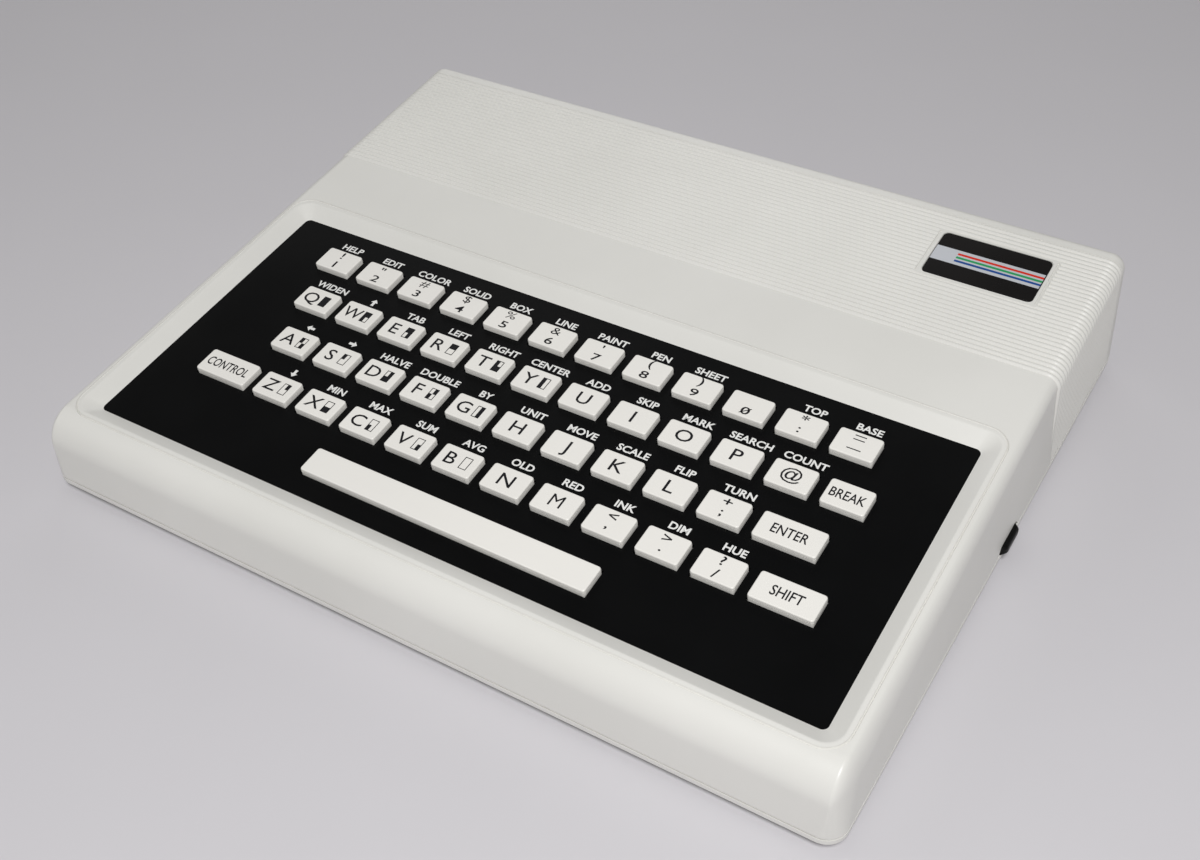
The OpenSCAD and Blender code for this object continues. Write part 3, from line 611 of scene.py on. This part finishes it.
def print_on(obj, layers):
    """Adds flat shapes to a piece's mesh: each layer is (shapes, x, v, w, material)."""
    bm = bmesh.new()
    bm.from_mesh(obj.data)
    for layer in layers:
        add_shapes(bm, *layer)
    bm.to_mesh(obj.data)
    bm.free()


# ---- Keys ----
LETTER_CAP, DIGIT_CAP, SIGN_CAP, WORD_CAP, AT_CAP = 3.55, 2.3, 2.4, 2.6, 3.3
LETTER_WIDE, BROAD_LETTER_WIDE, DIGIT_WIDE = 1.12, 0.96, 1.45  # the stretch along x
SIGN_WIDE, LOW_SIGN_WIDE, AT_WIDE = 1.3, 1.25, 1.1
STROKE, BOLD = 0.006, 0.012  # what is added to the font's outline
LETTER_SHIFT, BLOCK_SHIFT = 1.8, 2.35
SIGN_RISE, HIGH_SIGN_RISE, DIGIT_DROP = 1.95, 2.35, 1.75
DASH_W, EQUALS_W, EQUALS_GAP, BAR_T = 3.5, 2.8, 1.25, 0.3
ZERO_BAR_W, ZERO_BAR_T, ZERO_BAR_TURN = 3.2, 0.28, math.radians(42)
INK_LIFT = 0.015
BLOCKS = {"q": "xxxx", "w": "xxx.", "e": "xx.x", "r": "xx..", "t": "x.xx", "y": "x.x.", "a": "x..x",
          "s": "x...", "d": ".xxx", "f": ".xx.", "g": ".x.x", "z": ".x..", "x": "..xx", "c": "..x.",
          "v": "...x", "b": "...."}
PAIRS = {"1": "!1", "2": '"2', "3": "#3", "4": "$4", "5": "%5", "6": "&6", "7": "'7", "8": "(8", "9": ")9",
         "0": " 0", "colon": "*:", "minus": "=-", "semicolon": "+;", "comma": "<,", "period": ">.",
         "slash": "?/"}
WORDS = {"control": 0.70, "shift": 0.80, "enter": 0.78, "break": 0.75}
CLOSE_SIGNS = "#$%&"  # their strokes would run into each other if they were bold
HIGH_SIGNS = "\"'*"


def bar(width, thick, y=0.0):
    return rectangle(-width / 2, y - thick / 2, width / 2, y + thick / 2)


def upper_sign(sign):
    if sign == " ":
        return []
    if sign == "=":
        return [bar(EQUALS_W, BAR_T, SIGN_RISE + up) for up in (EQUALS_GAP / 2, -EQUALS_GAP / 2)]
    weight = 0 if sign in CLOSE_SIGNS else BOLD
    rise = HIGH_SIGN_RISE if sign in HIGH_SIGNS else SIGN_RISE
    return [placed(centred(text_shape(sign, SIGN_CAP, SIGN_WIDE, weight)), 0, rise)]


def lower_sign(sign):
    if sign == "-":
        return [bar(DASH_W, BAR_T, -DIGIT_DROP)]
    cap, wide = (DIGIT_CAP, DIGIT_WIDE) if sign.isdigit() else (SIGN_CAP, LOW_SIGN_WIDE)
    shapes = [placed(centred(text_shape(sign, cap, wide, BOLD)), 0, -DIGIT_DROP)]
    if sign == "0":
        shapes.append(placed(bar(ZERO_BAR_W, ZERO_BAR_T), 0, -DIGIT_DROP, ZERO_BAR_TURN))
    return shapes


def key_legend(name):
    """The shapes on a key's top, about its middle."""
    if name == "space":
        return []
    if name in WORDS:
        return [text_shape(name.upper(), WORD_CAP, WORDS[name], BOLD)]
    if name in PAIRS:
        return upper_sign(PAIRS[name][0]) + lower_sign(PAIRS[name][1])
    if name == "at":
        return [centred(text_shape("@", AT_CAP, AT_WIDE, STROKE))]
    wide = BROAD_LETTER_WIDE if name in "wm" else LETTER_WIDE
    letter = text_shape(name.upper(), LETTER_CAP, wide, 0 if name == "m" else STROKE)
    if name not in BLOCKS:
        return [letter]
    return [placed(letter, -LETTER_SHIFT, 0)] + [placed(s, BLOCK_SHIFT, 0)
                                                 for s in block_symbol(BLOCKS[name])]


def slope_extent(node):
    """The lowest and highest x, v and w of a CAD node."""
    places = [to_slope(vertex.co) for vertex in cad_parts[node].data.vertices]
    return [min(p[i] for p in places) for i in range(3)], [max(p[i] for p in places) for i in range(3)]


def key_piece(node):
    """A cap with a softly rounded top edge and a fine groove round its side, on its flange."""
    low, high = slope_extent(node)
    x, v = (low[0] + high[0]) / 2, (low[1] + high[1]) / 2
    flange_w, flange_d = high[0] - low[0], high[1] - low[1]
    cap_w = flange_w - 2 * (FLANGE_W - KEY_GROW_X)
    cap_d = flange_d - 2 * (FLANGE_W - KEY_GROW_V)
    sides = [(low[2] + FLANGE_T + KEY_SEAT, KEY_FOOT), (GROOVE_LOW, KEY_FOOT),
             (GROOVE_LOW + GROOVE_EDGE, GROOVE_DEPTH), (GROOVE_HIGH - GROOVE_EDGE, GROOVE_DEPTH),
             (GROOVE_HIGH, 0)]
    for a in quarter_turn(EDGE_STEPS):
        sides.append((KEY_RISE - KEY_EDGE * (1 - math.sin(a)), KEY_TAPER + KEY_EDGE * (1 - math.cos(a))))
    rings = [slope_ring(x, v, w, rounded_ring(flange_w, flange_d, KEY_CORNER, KEY_CORNER_STEPS))
             for w in (low[2], low[2] + FLANGE_T)]
    for w, inset in sides:
        r = max(KEY_CORNER + KEY_GROW_X - inset * KEY_CORNER_FALL, KEY_CORNER_LEAST)
        ring = rounded_ring(cap_w - 2 * inset, cap_d - 2 * inset, r, KEY_CORNER_STEPS)
        rings.append(slope_ring(x, v, w, ring))
    body = lofted(node + "_cap", rings)
    name = node[len("key_"):]
    print_on(body, [(key_legend(name), x, v, KEY_RISE + INK_LIFT, 1)])
    smooth(body, CAP_ANGLE)
    finish_piece(body, node + "_body", [KEY, KEY_INK])
    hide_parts(node)
    return x, v


# ---- Dome mat: its sheet, and a dome under each key ----
SHEET_SINK, SLAB_R = 0.01, 1
WELD = 0.001  # vertices closer than this become one


def dome_sheet():
    """The mat's own sheet, cut from the solid mat just under its domes."""
    bm = bmesh.new()
    bm.from_mesh(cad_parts["dome_mat"].data)
    bmesh.ops.remove_doubles(bm, verts=bm.verts, dist=WELD * MM)
    sheet = object_from("dome_sheet", bm)
    low, high = slope_extent("dome_mat")
    width, depth = high[0] - low[0] + 2 * CUT, high[1] - low[1] + 2 * CUT
    slab = slope_plate("slab", 0, (low[1] + high[1]) / 2, low[2] - CUT, low[2] + MAT_T - SHEET_SINK,
                       width, depth, SLAB_R)
    combine(sheet, slab, "INTERSECT")
    smooth(sheet, CAP_ANGLE)
    finish_piece(sheet, HOUSING, [MAT_GREY])
    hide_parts("dome_mat")


def dome(name, x, v):
    low, high = slope_extent("dome_mat")
    base, top = low[2] + MAT_T, high[2]
    rings = []
    for a in quarter_turn(EDGE_STEPS):
        r = DOME_R + (DOME_TOP_R - DOME_R) * (1 - math.cos(a))
        rings.append(slope_ring(x, v, base + (top - base) * math.sin(a), circle(r, DOME_SIDES)))
    piece = lofted(name + "_dome", rings)
    smooth(piece, DOME_ANGLE)
    finish_piece(piece, HOUSING, [MAT_GREY])
    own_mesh(piece)


# ---- Panel legends ----
PANEL_WORDS = {
    "1": "HELP", "2": "EDIT", "3": "COLOR", "4": "SOLID", "5": "BOX", "6": "LINE", "7": "PAINT", "8": "PEN",
    "9": "SHEET", "colon": "TOP", "minus": "BASE",
    "q": "WIDEN", "e": "TAB", "r": "LEFT", "t": "RIGHT", "y": "CENTER", "u": "ADD", "i": "SKIP", "o": "MARK",
    "p": "SEARCH", "at": "COUNT",
    "d": "HALVE", "f": "DOUBLE", "g": "BY", "h": "UNIT", "j": "MOVE", "k": "SCALE", "l": "FLIP",
    "semicolon": "TURN",
    "x": "MIN", "c": "MAX", "v": "SUM", "b": "AVG", "n": "OLD", "m": "RED", "comma": "INK", "period": "DIM",
    "slash": "HUE",
}
ARROWS = {"w": 0, "a": 90, "s": -90, "z": 180}  # the arrows' turns from straight up, in degrees
LEGEND_CAP, LEGEND_WIDE, LEGEND_WEIGHT = 1.95, 1.05, 0.026
LEGEND_RISE, LEGEND_SPREAD, LEGEND_LIFT = 6.75, 1.007, 0.02


def panel_legends(places):
    bm = bmesh.new()
    for name, (x, v) in places.items():
        if name in PANEL_WORDS:
            shape = text_shape(PANEL_WORDS[name], LEGEND_CAP, LEGEND_WIDE, LEGEND_WEIGHT)
        elif name in ARROWS:
            shape = placed(polygon_shape(ARROW_UP), 0, 0, math.radians(ARROWS[name]))
        else:
            continue
        add_shapes(bm, [shape], x * LEGEND_SPREAD, v + LEGEND_RISE, LEGEND_LIFT, 0)
    legends = linked("panel_legends", mesh_from("panel_legends", bm))
    finish_piece(legends, HOUSING, [PANEL_INK])


# ---- Label plate: a plain black plate with a silver band and three colour stripes ----
LABEL_ROOM, LABEL_EDGE, LABEL_PROUD = 0.3, 0.12, 0.02
BAND_H, BAND_INSET, PRINT_LIFT = 5.6, 0.05, 0.01
STRIPE_H, STRIPE_PITCH, STRIPE_START = 0.76, 1.35, 6


def label_plate():
    width = SEAT_W - 2 * SEAT_BORDER - LABEL_ROOM
    depth = SEAT_D - SEAT_BORDER - LABEL_ROOM
    low, high = CREST - LABEL_SINK, CREST + LABEL_PROUD
    rings = [slope_ring(SEAT_X, SEAT_V, w,
                        rounded_ring(width - 2 * i, depth - 2 * i, PANEL_R - i, PLATE_CORNER_STEPS))
             for w, i in ((low, 0), (high - LABEL_EDGE, 0), (high, LABEL_EDGE))]
    plate = lofted("label_plate", rings)
    band_w = high + PRINT_LIFT
    half = width / 2 - LABEL_EDGE - BAND_INSET
    layers = [([rectangle(-half, -BAND_H / 2, half, BAND_H / 2)], SEAT_X, SEAT_V, band_w, 1)]
    for i, y in enumerate((STRIPE_PITCH, 0, -STRIPE_PITCH)):
        stripe = rectangle(-half + STRIPE_START, y - STRIPE_H / 2, half, y + STRIPE_H / 2)
        layers.append(([stripe], SEAT_X, SEAT_V, band_w + PRINT_LIFT, 2 + i))
    print_on(plate, layers)
    smooth(plate, CAP_ANGLE)
    finish_piece(plate, HOUSING, [LABEL, LABEL_SILVER] + LABEL_COLORS)


# ---- CAD nodes that stay, with their finish ----
def dress_nodes():
    finishes = {"lower_case": CASE, "key_panel": PANEL, "rubber_feet": RUBBER, "screws": STEEL,
                "keyboard_board": BOARD, "main_board": BOARD, "rear_sockets": SOCKET,
                "power_button": BUTTON, "reset_button": RED, "channel_switch": BUTTON}
    for node, material in finishes.items():
        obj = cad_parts[node]
        obj.data.materials.clear()
        obj.data.materials.append(material)


# ---- Stage, light and camera, in metres ----
FLOOR, FLOOR_HALF = (0.63, 0.615, 0.64), 6
WORLD, WORLD_STRENGTH = (1.0, 0.99, 0.975), 0.2
AIM = Vector((0, 0, 0.02))
LAMPS = (  # name, place, side, watts
    ("key_light", (0.27, -0.38, 0.61), 0.2, 4.15),
    ("fill_light", (-0.50, -0.25, 0.5), 0.5, 0.35),
    ("rear_light", (-0.35, 0.60, 0.30), 0.5, 0.8),
)
EYE, EYE_TURN, LENS_MM = (0.15714, -0.24334, 0.25276), (48.52, 1.789, 31.341), 43.787


def stage():
    mat = moulded("floor", FLOOR, 0.9, grain=400, bump=0.01, mottle=0.006, specular=0.1)
    bm = bmesh.new()
    bmesh.ops.create_grid(bm, x_segments=2, y_segments=2, size=FLOOR_HALF)
    floor = object_from("floor", bm)
    floor.data.materials.append(mat)


def lights():
    world = bpy.data.worlds.new("studio")
    bpy.context.scene.world = world
    world.use_nodes = True
    back = world.node_tree.nodes["Background"]
    back.inputs["Color"].default_value = (*WORLD, 1)
    back.inputs["Strength"].default_value = WORLD_STRENGTH
    for name, place, side, watts in LAMPS:
        data = bpy.data.lights.new(name, "AREA")
        data.size = side
        data.energy = watts
        lamp = linked(name, data)
        lamp.location = place
        lamp.rotation_euler = (AIM - Vector(place)).to_track_quat("-Z", "Y").to_euler()


def camera():
    data = bpy.data.cameras.new("camera")
    data.sensor_width = 36
    data.lens = LENS_MM
    data.clip_start = 0.01
    obj = linked("camera", data)
    obj.location = EYE
    obj.rotation_euler = [math.radians(a) for a in EYE_TURN]
    bpy.context.scene.camera = obj
    bpy.context.scene.view_settings.view_transform = "Standard"


upper_case()
places = {node[len("key_"):]: key_piece(node) for node in sorted(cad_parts)
          if node.startswith("key_") and node != "key_panel"}
dome_sheet()
for name, (x, v) in places.items():
    dome(name, x, v)
panel_legends(places)
label_plate()
dress_nodes()
stage()
lights()
camera()
